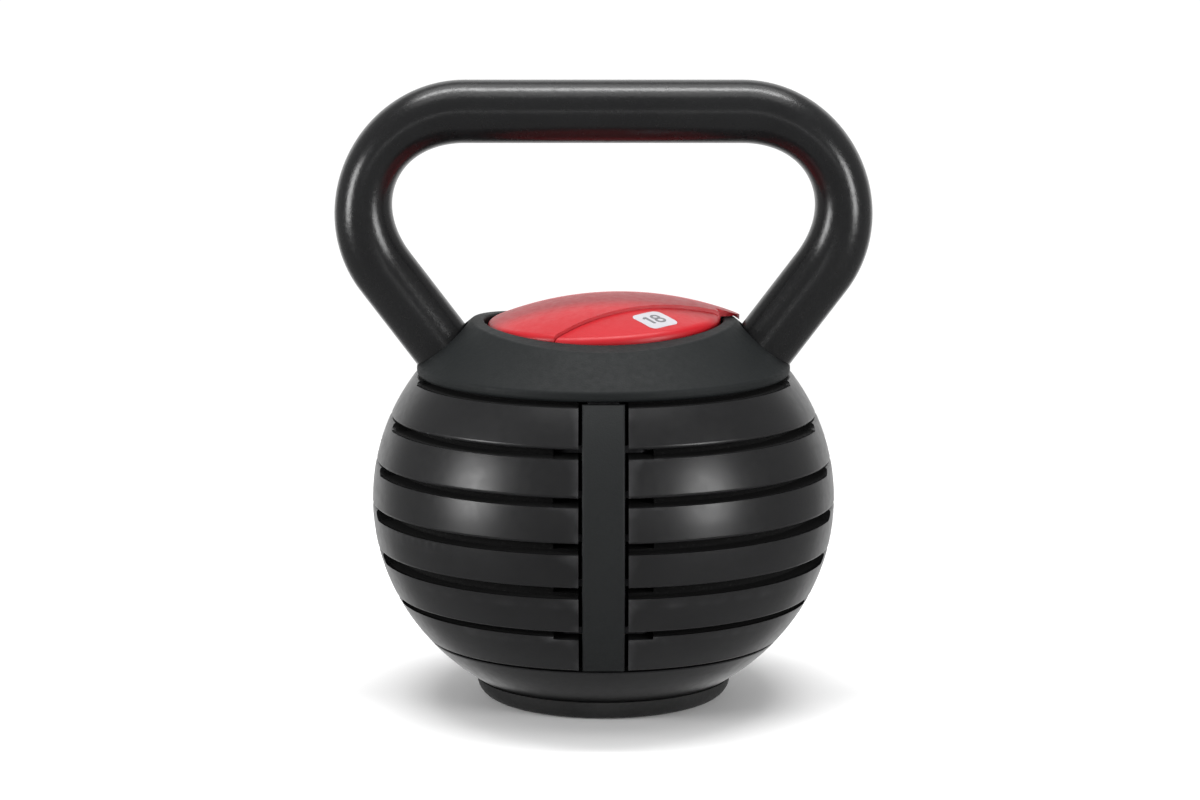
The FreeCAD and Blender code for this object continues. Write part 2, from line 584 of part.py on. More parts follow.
# two straight sides run tangent from the lobe back into the round cap
tail_root = polar(TAIL_ROOT_REACH, TAIL_ANGLE + TAIL_ROOT_TURN)
root_lobe = disc(TAIL_ROOT_RADIUS, CAP_BOTTOM_Z, 185, tail_root.x, tail_root.y)
span = tail_tip - tail_root
heading = math.atan2(span.y, span.x)
lean = math.acos((TAIL_ROOT_RADIUS - TAIL_END_RADIUS) / math.hypot(span.x, span.y))
side_corners = []
for centre, radius, sign in ((tail_tip, TAIL_END_RADIUS, 1), (tail_tip, TAIL_END_RADIUS, -1),
                             (tail_root, TAIL_ROOT_RADIUS, -1), (tail_root, TAIL_ROOT_RADIUS, 1)):
    at = centre + polar(radius, heading + sign * lean)
    side_corners.append(Vector(at.x, at.y, CAP_BOTTOM_Z))
tail_sides = Part.Face(Part.makePolygon(side_corners + side_corners[:1])).extrude(Vector(0, 0, 30))
tail = tail_lobe.fuse(tail_sides).fuse(root_lobe).common(dome(0.0))
# room for the rim of the collar under the tail
rim_room = turned([
    (CAP_RADIUS + 0.5, 150.0), (CAP_RADIUS + 0.5, COLLAR_RIM_Z + 0.5),
    (COLLAR_RIM_RADIUS + 0.4, COLLAR_RIM_Z + 0.5),
    (COLLAR_RIM_RADIUS + 10.4, COLLAR_RIM_Z + 0.5 - 10.0 / slope),
    (COLLAR_RIM_RADIUS + 10.4, 150.0),
])
rim_room = rim_room.fuse(ring(90, CAP_RADIUS + 0.5, 140.0, 160.5))
cap_block = domed_disc(CAP_RADIUS, CAP_BOTTOM_Z, 0.0).fuse(tail.cut(rim_room))
button_side = disc(split_radius, 140, 190, split_x, split_y)
button_side_wide = disc(split_radius + BUTTON_GAP, 140, 190, split_x, split_y)
cap_shell = cap_block.cut(button_side_wide)
cap_cavity = disc(CAP_RADIUS - CAP_WALL, CAP_BOTTOM_Z - 1, 185).common(dome(CAP_WALL))
cap_cavity = cap_cavity.cut(disc(split_radius + BUTTON_GAP + CAP_WALL, 140, 190,
                                 split_x, split_y))
cap = cap_shell.cut(cap_cavity)
CAP_BOSSES = [(-30.0, 24.0), (8.0, 38.0), (30.0, 14.0), (-34.0, -16.0)]
for x, y in CAP_BOSSES:
    boss = disc(3.6, CAP_BOTTOM_Z, 180, x, y).common(dome(CAP_WALL / 2))
    cap = cap.fuse(boss)
for x, y in CAP_BOSSES:
    cap = cap.cut(disc(1.3, CAP_BOTTOM_Z - 1, CAP_BOTTOM_Z + 8.0, x, y))
save("knob_cap", cap)

button_block = domed_disc(CAP_RADIUS - 0.1, BUTTON_BOTTOM_Z, BUTTON_DROP).common(button_side)
button_cavity = disc(CAP_RADIUS - 0.1 - CAP_WALL, BUTTON_BOTTOM_Z - 1, 185)
button_cavity = button_cavity.common(dome(BUTTON_DROP + CAP_WALL))
button_cavity = button_cavity.common(disc(split_radius - CAP_WALL, 140, 190, split_x, split_y))
button = button_block.cut(button_cavity)
PIN_AT = polar(31.0, LATCH_ANGLE)
GUIDE_POSTS = [(-2.0, -42.0), (38.0, -18.0)]
GUIDE_TOP_Z = 158.4         # the carrier's guides stay clear of the pressed button's roof
SPRING_AT = (19.0, -35.0)
pin_boss = disc(4.2, 160.0, 180, PIN_AT.x, PIN_AT.y).common(dome(BUTTON_DROP + 1.0))
button = button.fuse(pin_boss)
button = button.cut(disc(2.0, 150.0, 168.0, PIN_AT.x, PIN_AT.y))
for x, y in GUIDE_POSTS:
    post = disc(2.2, CARRIER_BOTTOM_Z + BUTTON_TRAVEL + 0.3, 180, x, y)
    button = button.fuse(post.common(dome(BUTTON_DROP + 1.0)))

LABEL_AT = (21.7, -30.5)
LABEL_SIDE = 15.0
LABEL_CORNER = 3.0
LABEL_THICKNESS = 0.6
LABEL_TURN_DEG = 41.0
label_edge = LABEL_SIDE / 2
label_prism = block(-label_edge, label_edge, -label_edge, label_edge, 160, 180)
label_prism = label_prism.makeFillet(LABEL_CORNER, [e for e in label_prism.Edges
                                                    if e.BoundBox.ZLength > 10])
label_prism.rotate(Vector(0, 0, 0), Z_AXIS, LABEL_TURN_DEG)
label_prism.translate(Vector(LABEL_AT[0], LABEL_AT[1], 0))
label = label_prism.common(dome(BUTTON_DROP - 0.1)).cut(dome(BUTTON_DROP + LABEL_THICKNESS - 0.1))
button = button.cut(label)
save("weight_label", label)
save("release_button", button)

# the latch pin hangs from the button; its foot runs under the lip of the latch ring
PIN_RADIUS = 2.0
FOOT_TOP_Z = LATCH_LIP_BOTTOM_Z - 0.3
FOOT_BOTTOM_Z = FOOT_TOP_Z - 1.7
latch_pin = disc(PIN_RADIUS, FOOT_BOTTOM_Z, 168.0)
latch_pin = latch_pin.fuse(block(0, 5.6, -PIN_RADIUS, PIN_RADIUS, FOOT_BOTTOM_Z, FOOT_TOP_Z))
latch_pin = latch_pin.fuse(disc(PIN_RADIUS, FOOT_BOTTOM_Z, FOOT_TOP_Z, 5.6, 0))
latch_pin.rotate(Vector(0, 0, 0), Z_AXIS, math.degrees(LATCH_ANGLE))
latch_pin.translate(PIN_AT)
save("latch_pin", latch_pin)

# button spring: a short compression coil between the carrier and the button
SPRING_RADIUS = 3.6
SPRING_WIRE = 0.45
SPRING_TURNS = 5.0
spring_bottom = CARRIER_TOP_Z + SPRING_WIRE + 0.05
spring_roof = dome_z(SPRING_AT[0], SPRING_AT[1], BUTTON_DROP + CAP_WALL)
spring_top = spring_roof - SPRING_WIRE - 2.2   # the roof slopes down across the coil
spring_height = spring_top - spring_bottom
helix = Part.makeHelix(spring_height / SPRING_TURNS, spring_height, SPRING_RADIUS)
section = Part.Wire(Part.Circle(Vector(SPRING_RADIUS, 0, 0), Vector(0, 1, 0),
                                SPRING_WIRE).toShape())
spring = Part.Wire(helix.Edges).makePipeShell([section], True, True)
spring.translate(Vector(SPRING_AT[0], SPRING_AT[1], spring_bottom))
save("button_spring", spring)

carrier = disc(CARRIER_RADIUS, CARRIER_BOTTOM_Z, CARRIER_TOP_Z)
carrier = carrier.fuse(disc(HUB_RADIUS, HUB_BOTTOM_Z, HUB_TOP_Z))
for x, y in GUIDE_POSTS:
    carrier = carrier.fuse(disc(4.2, CARRIER_TOP_Z, GUIDE_TOP_Z, x, y))
square = half_square + 0.05
carrier = carrier.cut(block(-square, square, -square, square, 140, 170))
carrier = carrier.cut(disc(PIN_RADIUS + 0.4, 140, 170, PIN_AT.x, PIN_AT.y))
for x, y in GUIDE_POSTS:
    carrier = carrier.cut(disc(2.55, CARRIER_BOTTOM_Z - 1, 170, x, y))
for x, y in CAP_BOSSES:
    carrier = carrier.cut(countersunk_screw(x, y, CARRIER_BOTTOM_Z, 158.0, 1.4, 3.0, 1.6))
    carrier = carrier.cut(disc(1.4, 150, 160, x, y))
save("knob_carrier", carrier)

cap_screws = []
for x, y in CAP_BOSSES:
    cap_screws.append(countersunk_screw(x, y, CARRIER_BOTTOM_Z, 162.0, 1.25, 2.8, 1.6))
save("cap_screws", Part.makeCompound(cap_screws))

save("shaft_washer", ring(8.5, 2.8, HUB_TOP_Z, HUB_TOP_Z + 1.2))
screw_head_z = HUB_TOP_Z + 1.2
shaft_screw = disc(4.3, screw_head_z, screw_head_z + 3.6).fuse(disc(2.45, 146.0, screw_head_z))
shaft_screw = shaft_screw.cut(disc(2.0, screw_head_z + 1.4, screw_head_z + 5.0))
save("shaft_screw", shaft_screw)


# ---------------------------------------------------------------- weight plates
def plate_blank(z0, z1, groove_depth, has_shelf_above):
    """Horseshoe plate without its underside pockets."""
    plate = ball_slice(z0, z1, PLATE_EDGE_RADIUS)
    groove_inner = ball_radius(z1) - GROOVE_WIDTH
    groove = ring(130, groove_inner, z1 - groove_depth, z1 + 1)
    for middle in (-90, 90):
        cutter = groove.common(wedge(GROOVE_HALF_ANGLE, middle, 140, z0, z1 + 2))
        for end in (-1, 1):
            direction = polar(1.0, math.radians(middle + end * GROOVE_HALF_ANGLE))
            round_end = Part.makeCylinder(groove_depth, 60, direction * groove_inner
                                          + Vector(0, 0, z1), direction)
            cutter = cutter.fuse(round_end)
        plate = plate.cut(cutter)
    plate = plate.cut(disc(KEYHOLE_RADIUS, z0 - 1, z1 + 1))
    plate = plate.cut(block(-SLOT_HALF_WIDTH, SLOT_HALF_WIDTH, -130, 0, z0 - 1, z1 + 1))
    if has_shelf_above:
        half = SHELF_HALF_WIDTH + SHELF_SIDE_GAP
        floor = z1 - SHELF_THICKNESS - SHELF_UNDER_GAP
        plate = plate.cut(block(-half, half, -130, SHELF_BACK_Y + SHELF_SIDE_GAP, floor, z1 + 1))
    return plate


def pocket_cutter(z0, z1, depth):
    """Underside pockets that lighten a plate, left whole round the slot and shelf."""
    outer = min(ball_radius(z0), ball_radius(z1)) - POCKET_RIM
    pocket = ring(outer, POCKET_INNER_RADIUS, z0 - 1, z0 + depth)
    half = SHELF_HALF_WIDTH + 4.0
    pocket = pocket.cut(block(-half, half, -130, SHELF_BACK_Y + 3, z0 - 2, z0 + depth + 1))
    for rib_angle in (30.0, 90.0, 150.0, -30.0, 210.0):
        rib = block(0, 130, -POCKET_RIB_WIDTH / 2, POCKET_RIB_WIDTH / 2, z0 - 2, z0 + depth + 1)
        rib.rotate(Vector(0, 0, 0), Z_AXIS, rib_angle)
        pocket = pocket.cut(rib)
    return pocket


MAX_POCKET_DEPTH = 14.5
for index in range(PLATE_COUNT):
    below = PLATE_COUNT - 1 - index
    z0 = joint_z(below) + PLATE_CLEARANCE
    z1 = joint_z(below + 1) - PLATE_CLEARANCE
    plate = plate_blank(z0, z1, GROOVE_DEPTHS[index], index > 0)
    surplus = plate.Volume - PLATE_MASS_KG / IRON_DENSITY
    area = (pocket_cutter(z0, z1, 10.0).Volume) / 11.0
    depth = min(MAX_POCKET_DEPTH, surplus / area)
    if depth > 0.5:
        plate = plate.cut(pocket_cutter(z0, z1, depth))
    save("weight_plate_%d" % (index + 1), plate)
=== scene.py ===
"""Adjustable kettlebell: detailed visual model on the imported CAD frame, in metres."""

import math

import bmesh
import bpy
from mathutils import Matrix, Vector


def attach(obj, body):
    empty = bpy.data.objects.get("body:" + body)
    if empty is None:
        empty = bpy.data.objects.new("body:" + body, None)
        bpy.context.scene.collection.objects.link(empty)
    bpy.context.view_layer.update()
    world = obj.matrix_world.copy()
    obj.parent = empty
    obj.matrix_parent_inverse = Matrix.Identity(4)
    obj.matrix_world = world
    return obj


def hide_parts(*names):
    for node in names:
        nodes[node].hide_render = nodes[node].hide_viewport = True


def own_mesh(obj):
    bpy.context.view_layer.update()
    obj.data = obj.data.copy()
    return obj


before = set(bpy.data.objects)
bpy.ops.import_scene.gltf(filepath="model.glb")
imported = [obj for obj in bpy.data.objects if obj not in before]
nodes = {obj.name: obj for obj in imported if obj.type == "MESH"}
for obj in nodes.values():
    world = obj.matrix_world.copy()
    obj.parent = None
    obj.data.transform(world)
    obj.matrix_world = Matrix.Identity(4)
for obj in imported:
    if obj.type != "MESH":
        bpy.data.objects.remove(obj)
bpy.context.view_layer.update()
MM = 0.001

# ---------------------------------------------------------------- sizes shared with the CAD, mm
BALL_RADIUS = 99.8
BALL_HALF_HEIGHT = 93.0
BALL_CENTRE_Z = 86.6
PLATE_COUNT = 6
TUBE_RADIUS = 13.5
BEND_X = 59.2
BEND_Z = 210.6
BEND_RADIUS = 43.0
LEG_ANGLE = math.radians(52.9)
GRIP_Z = BEND_Z + BEND_RADIUS
CAP_DOME_RADIUS = 145.0
CAP_DOME_X = 7.0
CAP_DOME_Y = 3.0
CAP_TOP_Z = 174.6
LABEL_DROP = 1.3            # the label's face sits this far below the cap's dome
LABEL_AT = (21.7, -30.5)
LABEL_TURN = math.radians(41.0)
SPRING_AT = (19.0, -35.0)
SPRING_RADIUS = 3.6
SPRING_WIRE = 0.45          # radius of the wire
SPRING_TURNS = 5
SPRING_SEAT_Z = 155.45
SPRING_FREE_HEIGHT = 7.4

# the tube drawn here ends inside the mount plate, 2 mm above the end of the CAD's tube
TUBE_CUT_Z = 143.6
LEG_LENGTH = 76.0           # past the bend, before the cut

# a bent tube is a little flatter in the plane of its bend
BEND_SQUEEZE = 0.125
BEND_SPREAD = 0.05
BEND_SHIFT = 0.8            # mm outwards

# points in one turn of the coil and of an oval
TURN_STEPS = 36

# number on the label, mm from the label's middle
DIGIT_THICKNESS = 0.12
STEM_X = -2.9
STEM_WIDTH = 1.25
FLAG_WIDTH = 1.10
EIGHT_X = 1.6
EIGHT_WIDTH = 1.15

# depth, in metres, below which a surface is a recess of the ball
SKIN_DEPTH = 0.0015

# brightness of the studio, of the backdrop as a light, and of either as the camera sees it
STUDIO_GLOW = 0.40
BACKDROP_GLOW = 1.15
CAMERA_SEES = 1.05
BACKDROP_STARTS = 0.66      # Y of a direction where the backdrop begins, and where it is full
BACKDROP_FULL = 0.80

# floor, light and camera, in metres
FLOOR_RADIUS = 0.56
FLOOR_MIDDLE_Y = 0.10
LIGHTS_AIM = (0.0, 0.0, 0.10)
# name, place, what it faces, width, height, watts
LIGHTS = (
    ("softbox_left", (-1.03, -0.46, 0.27), LIGHTS_AIM, 0.34, 0.52, 9.5),
    ("softbox_right", (0.88, -0.71, 0.27), LIGHTS_AIM, 0.34, 0.52, 8.8),
    ("strip_top", (0.0, 0.02, 1.30), LIGHTS_AIM, 1.2, 0.16, 12.0),
    ("strip_front", (0.0, -2.6, 0.42), (0.0, 0.0, 0.25), 2.4, 0.03, 3.0),
    ("ceiling", (0.0, 0.0, 2.60), LIGHTS_AIM, 2.6, 2.6, 44.0),
)
CAMERA_LENS = 108.9         # mm, on a 36 mm sensor
CAMERA_AT = (0.0, -1.546, 0.384)
CAMERA_PITCH = 9.368        # degrees below level
OFF_CENTRE = 3.5            # the object stands this many pixels right of the frame's middle
FRAME_WIDTH = 1200.0        # pixels


# ---------------------------------------------------------------- materials
class Nodes:
    """Short way to build a node tree around one Principled shader."""

    def __init__(self, name, colour, roughness, metallic=0.0):
        self.mat = bpy.data.materials.new(name)
        self.mat.use_nodes = True
        self.tree = self.mat.node_tree
        self.shader = self.tree.nodes["Principled BSDF"]
        self.shader.inputs["Base Color"].default_value = (*colour, 1.0)
        self.shader.inputs["Roughness"].default_value = roughness
        self.shader.inputs["Metallic"].default_value = metallic
        self.coords = self.add("ShaderNodeTexCoord")
        self.mat.diffuse_color = (*colour, 1.0)

    def add(self, kind, **values):
        node = self.tree.nodes.new(kind)
        for key, value in values.items():
            if key in node.inputs:
                node.inputs[key].default_value = value
            else:
                setattr(node, key, value)
        return node

    def link(self, a, b):
        self.tree.links.new(a, b)

    def noise(self, scale, detail=3.0, rough=0.6, stretch=None):
        node = self.add("ShaderNodeTexNoise", Scale=scale, Detail=detail, Roughness=rough)
        source = self.coords.outputs["Object"]
        if stretch is not None:
            mapping = self.add("ShaderNodeMapping")
            mapping.inputs["Scale"].default_value = stretch
            self.link(source, mapping.inputs["Vector"])
            source = mapping.outputs["Vector"]
        self.link(source, node.inputs["Vector"])
        return node.outputs["Fac"]

    def ramp(self, value, low, high, out_low, out_high):
        node = self.add("ShaderNodeMapRange")
        node.inputs["From Min"].default_value = low
        node.inputs["From Max"].default_value = high
        node.inputs["To Min"].default_value = out_low
        node.inputs["To Max"].default_value = out_high
        self.link(value, node.inputs["Value"])
        return node.outputs["Result"]

    def mix(self, factor, low, high):
        """Mix of two fixed colours."""
        node = self.add("ShaderNodeMix", data_type="RGBA")
        node.inputs["A"].default_value = (*low, 1.0)
        node.inputs["B"].default_value = (*high, 1.0)
        self.link(factor, node.inputs["Factor"])
        return node.outputs["Result"]

    def mix_linked(self, factor, low, high):
        """Mix of a linked colour and a fixed one."""
        node = self.add("ShaderNodeMix", data_type="RGBA")
        self.link(low, node.inputs["A"])
        node.inputs["B"].default_value = (*high, 1.0)
        self.link(factor, node.inputs["Factor"])
        return node.outputs["Result"]

    def blend_linked(self, factor, low, high):
        """Mix of two linked colours."""
        node = self.add("ShaderNodeMix", data_type="RGBA")
        self.link(low, node.inputs["A"])
        self.link(high, node.inputs["B"])
        self.link(factor, node.inputs["Factor"])
        return node.outputs["Result"]

    def blend_values(self, factor, low, high):
        """Mix of a linked number and a fixed one."""
        node = self.add("ShaderNodeMix", data_type="FLOAT")
        self.link(low, node.inputs["A"])
        node.inputs["B"].default_value = high
        self.link(factor, node.inputs["Factor"])
        return node.outputs["Result"]

    def ball_depth(self):
        """About how far, in metres, a point lies under the outside of the ball."""
        shifted = self.add("ShaderNodeVectorMath", operation="SUBTRACT")
        shifted.inputs[1].default_value = (0.0, 0.0, BALL_CENTRE_Z * MM)
        self.link(self.coords.outputs["Object"], shifted.inputs[0])
        scaled = self.add("ShaderNodeVectorMath", operation="MULTIPLY")
        flatness = BALL_RADIUS / BALL_HALF_HEIGHT
        scaled.inputs[1].default_value = (1.0, 1.0, flatness)
        self.link(shifted.outputs["Vector"], scaled.inputs[0])
        length = self.add("ShaderNodeVectorMath", operation="LENGTH")
        self.link(scaled.outputs["Vector"], length.inputs[0])
        depth = self.add("ShaderNodeMath", operation="SUBTRACT")
        depth.inputs[0].default_value = BALL_RADIUS * MM
        self.link(length.outputs["Value"], depth.inputs[1])
        return depth.outputs["Value"]

    def colour(self, output):
        self.link(output, self.shader.inputs["Base Color"])

    def rough(self, output):
        self.link(output, self.shader.inputs["Roughness"])

    def bump(self, *layers):
        """Each layer is (height output, distance in metres, strength)."""
        previous = None
        for height, distance, strength in layers:
            node = self.add("ShaderNodeBump", Strength=strength, Distance=distance)
            self.link(height, node.inputs["Height"])
            if previous is not None:
                self.link(previous.outputs["Normal"], node.inputs["Normal"])
            previous = node
        self.link(previous.outputs["Normal"], self.shader.inputs["Normal"])

    def edge_wear_and_highlight(self, base, tint, amount):
        """Lighten convex edges a little: partly rubbed paint, partly a painted edge highlight."""
        geometry = self.add("ShaderNodeNewGeometry")
        edge = self.ramp(geometry.outputs["Pointiness"], 0.53, 0.62, 0.0, 1.0)
        patchy = self.ramp(self.noise(60.0, 4.0), 0.35, 0.7, 0.0, amount)
        product = self.add("ShaderNodeMath", operation="MULTIPLY")
        self.link(edge, product.inputs[0])
        self.link(patchy, product.inputs[1])
        return self.mix_linked(product.outputs["Value"], base, tint)


def powder_coat():
    """Handle finish: satin black powder coat with a fine orange-peel grain."""
    m = Nodes("powder_coat_black", (0.008, 0.008, 0.0085), 0.29)
    m.shader.inputs["Specular IOR Level"].default_value = 0.34
    cloud = m.noise(22.0, 3.0)
    m.colour(m.mix(m.ramp(cloud, 0.3, 0.7, 0.0, 1.0), (0.0045, 0.0045, 0.0048),
                   (0.0075, 0.0077, 0.0081)))
    grain = m.noise(1500.0, 2.0, 0.5)
    m.rough(m.ramp(m.noise(420.0, 2.0), 0.3, 0.7, 0.21, 0.28))
    peel = m.noise(520.0, 2.0, 0.4)
    m.bump((peel, 0.0004, 0.13), (grain, 0.0001, 0.22))
    return m.mat


def plate_enamel():
    """Plates: satin enamel outside, with a rough as-cast surface in every recess, its colour
    darkened there as painted shade.

    The outside lies on the ball, so anything deeper than the skin depth is a recess.
    """
    m = Nodes("plate_enamel_black", (0.007, 0.007, 0.0074), 0.30)
    m.shader.inputs["Specular IOR Level"].default_value = 0.27
    cloud = m.noise(14.0, 4.0)
    face = m.mix(m.ramp(cloud, 0.3, 0.7, 0.0, 1.0), (0.0058, 0.0058, 0.0062),
                 (0.0092, 0.0092, 0.0097))
    # lighter convex edges: partly rubbed paint, partly a painted highlight along the plate edges
    worn_and_highlit = m.edge_wear_and_highlight(face, (0.060, 0.060, 0.062), 0.8)
    speck = m.noise(900.0, 5.0, 0.7)
    # recess colour: a real rough as-cast surface with specks, and a near-black tone that is
    # painted shade in the grooves
    cast_and_painted_shade = m.mix(m.ramp(speck, 0.56, 0.74, 0.0, 1.0), (0.0008, 0.0008, 0.0008),
                 (0.020, 0.020, 0.020))
    depth = m.ball_depth()
    recess = m.ramp(depth, SKIN_DEPTH * 0.8, SKIN_DEPTH * 1.2, 0.0, 1.0)
    m.colour(m.blend_linked(recess, worn_and_highlit, cast_and_painted_shade))
    satin = m.ramp(m.noise(260.0, 3.0), 0.3, 0.7, 0.29, 0.36)
    m.rough(m.blend_values(recess, satin, 0.95))
    wave = m.noise(34.0, 2.0, 0.4)
    grain = m.noise(1100.0, 2.0, 0.5)
    m.bump((wave, 0.0010, 0.05), (grain, 0.00010, 0.16))
    return m.mat


def moulded_plastic(name, low, high, rough_low, rough_high, gloss=0.34):
    """Matte moulded plastic with a fine spark-eroded grain."""
    m = Nodes(name, low, (rough_low + rough_high) / 2)
    m.shader.inputs["Specular IOR Level"].default_value = gloss
    cloud = m.noise(18.0, 3.0)
    m.colour(m.mix(m.ramp(cloud, 0.3, 0.7, 0.0, 1.0), low, high))
    m.rough(m.ramp(m.noise(350.0, 2.0), 0.3, 0.7, rough_low, rough_high))
    m.bump((m.noise(1100.0, 3.0, 0.6), 0.00015, 0.45),
           (m.noise(30.0, 2.0, 0.4), 0.0006, 0.05))
    return m.mat


def red_plastic():
    """Satin red plastic of the knob cap and its button."""
    m = Nodes("cap_plastic_red", (0.37, 0.006, 0.011), 0.42)
    m.shader.inputs["Specular IOR Level"].default_value = 0.30
    m.shader.inputs["Subsurface Weight"].default_value = 0.04
    m.shader.inputs["Subsurface Scale"].default_value = 0.002
    m.shader.inputs["Subsurface Radius"].default_value = (1.0, 0.15, 0.12)
    cloud = m.noise(20.0, 3.0)
    m.colour(m.mix(m.ramp(cloud, 0.3, 0.7, 0.0, 1.0), (0.37, 0.0055, 0.0105),
                   (0.42, 0.0070, 0.0135)))
    m.rough(m.ramp(m.noise(300.0, 2.0), 0.3, 0.7, 0.38, 0.48))
    m.bump((m.noise(1200.0, 2.0, 0.5), 0.0001, 0.30),
           (m.noise(26.0, 2.0, 0.4), 0.0006, 0.05))
    return m.mat


def rubber():
    """Matte black rubber with a slightly dusty, mottled surface."""
    m = Nodes("foot_rubber_black", (0.010, 0.010, 0.010), 0.75)
    m.shader.inputs["Specular IOR Level"].default_value = 0.18
    cloud = m.noise(30.0, 4.0)
    m.colour(m.mix(m.ramp(cloud, 0.35, 0.7, 0.0, 1.0), (0.011, 0.011, 0.011),
                   (0.018, 0.018, 0.018)))
    m.rough(m.ramp(m.noise(500.0, 3.0), 0.3, 0.7, 0.66, 0.84))
    m.bump((m.noise(900.0, 4.0, 0.6), 0.0002, 0.5))
    return m.mat


def metal(name, colour, roughness, stretch=(1.0, 1.0, 1.0), dark=0.8, metallic=1.0):
    """Bare, plated or blackened metal with fine lay marks along one direction."""
    m = Nodes(name, colour, roughness, metallic)
    lay = m.noise(900.0, 3.0, 0.5, stretch)
    shade = tuple(c * dark for c in colour)
    m.colour(m.mix(m.ramp(lay, 0.3, 0.7, 0.0, 1.0), shade, colour))
    m.rough(m.ramp(lay, 0.3, 0.7, roughness * 0.8, roughness * 1.25))
    m.bump((lay, 0.00008, 0.3), (m.noise(60.0, 3.0), 0.0003, 0.08))
    return m.mat


def label_white():
    """Printed inlay: slightly uneven off-white."""
    m = Nodes("label_print_white", (0.84, 0.84, 0.85), 0.38)
    m.colour(m.mix(m.ramp(m.noise(60.0, 3.0), 0.3, 0.7, 0.0, 1.0), (0.40, 0.39, 0.42),
                   (0.47, 0.46, 0.49)))
    m.rough(m.ramp(m.noise(400.0, 2.0), 0.3, 0.7, 0.32, 0.46))
    m.bump((m.noise(1000.0, 2.0, 0.5), 0.00006, 0.3))
    return m.mat


POWDER = powder_coat()
ENAMEL = plate_enamel()
COLLAR_PLASTIC = moulded_plastic("collar_plastic_black", (0.0080, 0.0092, 0.0095),
                                 (0.0105, 0.0119, 0.0122), 0.56, 0.66, gloss=0.13)
STRIP_PLASTIC = moulded_plastic("strip_plastic_black", (0.0080, 0.0090, 0.0093),
                                (0.0100, 0.0111, 0.0114), 0.56, 0.66, gloss=0.18)
NYLON = moulded_plastic("carrier_nylon_grey", (0.28, 0.28, 0.28), (0.34, 0.34, 0.34),
                        0.5, 0.6)
RED = red_plastic()
RUBBER = rubber()
ZINC = metal("plated_steel", (0.60, 0.60, 0.58), 0.30, (1.0, 1.0, 0.15))
BLACK_STEEL = metal("black_oxide_steel", (0.045, 0.045, 0.048), 0.45, dark=0.6, metallic=0.7)
BRONZE = metal("sintered_bronze", (0.55, 0.36, 0.17), 0.42)
LABEL = label_white()
INK = moulded_plastic("label_ink_grey", (0.13, 0.13, 0.14), (0.17, 0.17, 0.18), 0.5, 0.6)

CAD_FINISH = {
    "mount_plate": BLACK_STEEL, "handle_welds": POWDER, "spine_web": BLACK_STEEL,
    "support_shelves": BLACK_STEEL, "collar_screws": ZINC, "latch_ring": BLACK_STEEL,
    "latch_screws": ZINC, "upper_bush": BRONZE, "thrust_washer": NYLON,
    "web_screws": ZINC, "base_bolts": ZINC, "lower_bush": BRONZE, "foot_screws": ZINC,
    "lock_shaft": ZINC, "knob_carrier": NYLON, "cap_screws": ZINC, "shaft_washer": ZINC,
    "shaft_screw": ZINC, "latch_pin": ZINC, "button_spring": ZINC,
    "handle_tube": POWDER, "collar_front": COLLAR_PLASTIC, "collar_back": COLLAR_PLASTIC,
    "front_strip": STRIP_PLASTIC, "base_dish": ENAMEL, "foot_ring": RUBBER,
    "knob_cap": RED, "release_button": RED, "weight_label": LABEL,
}
for index in range(1, PLATE_COUNT + 1):
    CAD_FINISH["weight_plate_%d" % index] = ENAMEL
for name, material in CAD_FINISH.items():
    data = nodes[name].data
    data.materials.clear()
    data.materials.append(material)


# ---------------------------------------------------------------- pieces made here
def new_piece(name, shape, body, material):
    """Turn a bmesh in millimetres into a piece that rides on a CAD body."""
    bmesh.ops.scale(shape, vec=(MM, MM, MM), verts=shape.verts)
    bmesh.ops.recalc_face_normals(shape, faces=shape.faces)
    mesh = bpy.data.meshes.new(name)
    shape.to_mesh(mesh)
    shape.free()
    for face in mesh.polygons:
        face.use_smooth = True
    piece = bpy.data.objects.new(name, mesh)
    bpy.context.scene.collection.objects.link(piece)
    mesh.materials.append(material)
    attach(piece, body)
    return piece


# ---------------------------------------------------------------- handle
def right_side_stations():
    """(x, z, tilt, squeeze) down the right half of the tube, from the middle of the grip.

    Tilt is how far the tube has turned from level, squeeze runs from 0 to 1 in the bend.
    """
    stations = []
    grip_steps = 24
    for step in range(grip_steps):
        stations.append((BEND_X * step / grip_steps, GRIP_Z, 0.0, 0.0))
    turn = math.pi - LEG_ANGLE
    bend_steps = 48
    for step in range(bend_steps + 1):
        angle = turn * step / bend_steps
        squeeze = math.sin(math.pi * step / bend_steps) ** 2
        reach = BEND_RADIUS + BEND_SHIFT * squeeze
        stations.append((BEND_X + reach * math.sin(angle), BEND_Z + reach * math.cos(angle),
                         angle, squeeze))
    end_x, end_z = stations[-1][:2]
    leg_steps = 20
    for step in range(1, leg_steps + 1):
        along = LEG_LENGTH * step / leg_steps
        stations.append((end_x - along * math.cos(LEG_ANGLE), end_z - along * math.sin(LEG_ANGLE),
                         turn, 0.0))
    return stations


